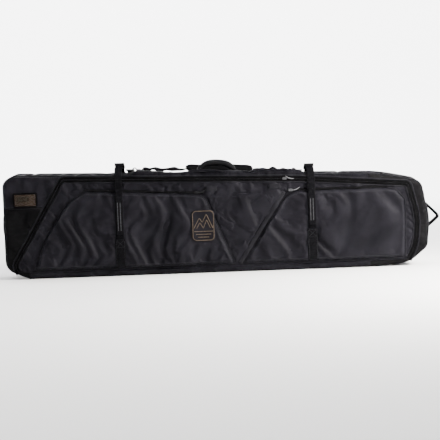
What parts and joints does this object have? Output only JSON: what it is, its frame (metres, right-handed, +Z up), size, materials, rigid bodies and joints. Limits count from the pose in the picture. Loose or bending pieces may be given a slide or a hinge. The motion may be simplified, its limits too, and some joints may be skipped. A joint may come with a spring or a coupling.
{
  "type": "snowboard bag",
  "caption": "Long padded soft bag standing on its side, with a hinged zip-round front lid, outer pockets, compression straps, carry handle and shoulder strap.",
  "frame": {"origin": "on the floor under the middle of the bag's depth, at the flat bottom side", "axes": "+X along the bag to the nose end, -Y to the front with the lid, +Z up"},
  "size_m": [1.7003, 0.248, 0.4415],
  "materials": {
    "shell_fabric": "coated dark charcoal polyester weave",
    "nose_fabric": "heavy black coated polyester",
    "lining_fabric": "dark grey quilted lining",
    "flap_fabric": "black coated polyester",
    "window_film": "smoked clear film over a card",
    "badge_thread": "tan woven thread on black",
    "zip_coil": "black coil zip on woven tape",
    "webbing": "black ribbed polyester webbing",
    "buckle_plastic": "black moulded acetal",
    "pad_fabric": "black padded mesh and fabric",
    "dark_metal": "gunmetal paint, satin",
    "pull_rubber": "light grey moulded pull"
  },
  "bodies": {
    "root": {"bottom_gusset": "shell_fabric", "top_gusset": "shell_fabric", "tail_gusset": "shell_fabric", "back_panel": "shell_fabric", "tail_front_panel": "shell_fabric", "zip_header_strip": "shell_fabric", "lower_front_strip": "shell_fabric", "nose_gusset": "nose_fabric", "nose_front_panel": "nose_fabric", "scuff_guard": "nose_fabric", "back_lining": "lining_fabric", "floor_pad": "lining_fabric", "document_window": "window_film", "main_zip_tub_half": "zip_coil", "back_strap_left": "webbing", "back_strap_right": "webbing", "tie_down_straps": "webbing", "grab_handle_feet": "webbing", "ring_tab_left": "webbing", "ring_tab_right": "webbing", "buckle_socket_left": "buckle_plastic", "buckle_socket_right": "buckle_plastic", "tie_down_buckles": "buckle_plastic"},
    "lid": {"lid_panel": "shell_fabric", "lid_lining": "lining_fabric", "left_pocket": "shell_fabric", "right_pocket": "shell_fabric", "centre_panel": "shell_fabric", "diagonal_flap": "flap_fabric", "woven_badge": "badge_thread", "left_zip_tab": "shell_fabric", "right_zip_tab": "shell_fabric", "main_zip_lid_half": "zip_coil", "left_pocket_zip": "zip_coil", "right_pocket_zip": "zip_coil", "strap_band_left": "webbing", "strap_band_right": "webbing", "strap_front_left": "webbing", "strap_front_right": "webbing"},
    "plug_left": {"buckle_plug_left": "buckle_plastic"},
    "plug_right": {"buckle_plug_right": "buckle_plastic"},
    "grab_handle": {"grab_handle_webbing": "webbing", "grab_handle_grip": "pad_fabric"},
    "end_handle": {"end_handle": "webbing"},
    "shoulder_strap": {"d_ring_left": "dark_metal", "d_ring_right": "dark_metal", "swivel_hook_left": "dark_metal", "swivel_hook_right": "dark_metal", "sling_webbing_left": "webbing", "sling_webbing_right": "webbing", "shoulder_pad": "pad_fabric", "tri_glides": "buckle_plastic"},
    "main_slider": {"main_zip_slider": "dark_metal"},
    "main_pull": {"main_zip_pull": "pull_rubber"},
    "left_slider": {"left_zip_slider": "dark_metal"},
    "left_pull": {"left_zip_pull": "pull_rubber"},
    "right_slider": {"right_zip_slider": "dark_metal"},
    "right_pull": {"right_zip_pull": "pull_rubber"},
    "tail_left": {"strap_tail_left": "webbing"},
    "tail_right": {"strap_tail_right": "webbing"}
  },
  "joints": [
    {"name": "lid_hinge", "type": "hinge", "parent": "root", "child": "lid", "pos_m": [0, -0.112, 0.025], "axis": [1, 0, 0], "range_deg": [0, 80]},
    {"name": "left_plug_slide", "type": "slide", "parent": "lid", "child": "plug_left", "axis": [0, -0.9659, 0.2588], "range_m": [0, 0.03]},
    {"name": "right_plug_slide", "type": "slide", "parent": "lid", "child": "plug_right", "axis": [0, -0.9659, 0.2588], "range_m": [0, 0.03]},
    {"name": "grab_handle_swing", "type": "hinge", "parent": "root", "child": "grab_handle", "pos_m": [0, -0.02, 0.406], "axis": [1, 0, 0], "range_deg": [-55, 55]},
    {"name": "end_handle_swing", "type": "hinge", "parent": "root", "child": "end_handle", "pos_m": [0.838, 0, 0.183], "axis": [0, 0, 1], "range_deg": [-55, 55]},
    {"name": "shoulder_strap_swing", "type": "hinge", "parent": "root", "child": "shoulder_strap", "pos_m": [-0.35, 0.1136, 0.40774], "axis": [-0.9993, 0, 0.0371], "range_deg": [0, 85]},
    {"name": "main_zip_slide", "type": "slide", "parent": "lid", "child": "main_slider", "axis": [-0.9996, 0, 0.0299], "range_m": [-0.026, 0.84]},
    {"name": "main_pull_swing", "type": "hinge", "parent": "main_slider", "child": "main_pull", "pos_m": [0.269, -0.1207, 0.35808], "axis": [0, -1, 0], "range_deg": [-10, 140]},
    {"name": "left_zip_slide", "type": "slide", "parent": "lid", "child": "left_slider", "axis": [-0.9985, 0, 0.0556], "range_m": [-0.008, 0.415]},
    {"name": "left_pull_swing", "type": "hinge", "parent": "left_slider", "child": "left_pull", "pos_m": [-0.075, -0.1207, 0.31506], "axis": [0, -1, 0], "range_deg": [-10, 140]},
    {"name": "right_zip_slide", "type": "slide", "parent": "lid", "child": "right_slider", "axis": [1, 0, 0], "range_m": [0, 0.35]},
    {"name": "right_pull_swing", "type": "hinge", "parent": "right_slider", "child": "right_pull", "pos_m": [0.291, -0.1207, 0.3125], "axis": [0, -1, 0], "range_deg": [-10, 140]},
    {"name": "left_tail_swing", "type": "hinge", "parent": "lid", "child": "tail_left", "pos_m": [-0.384, -0.1272, 0.338], "axis": [-1, 0, 0], "range_deg": [0, 60]},
    {"name": "right_tail_swing", "type": "hinge", "parent": "lid", "child": "tail_right", "pos_m": [0.366, -0.1272, 0.318], "axis": [-1, 0, 0], "range_deg": [0, 60]}
  ]
}
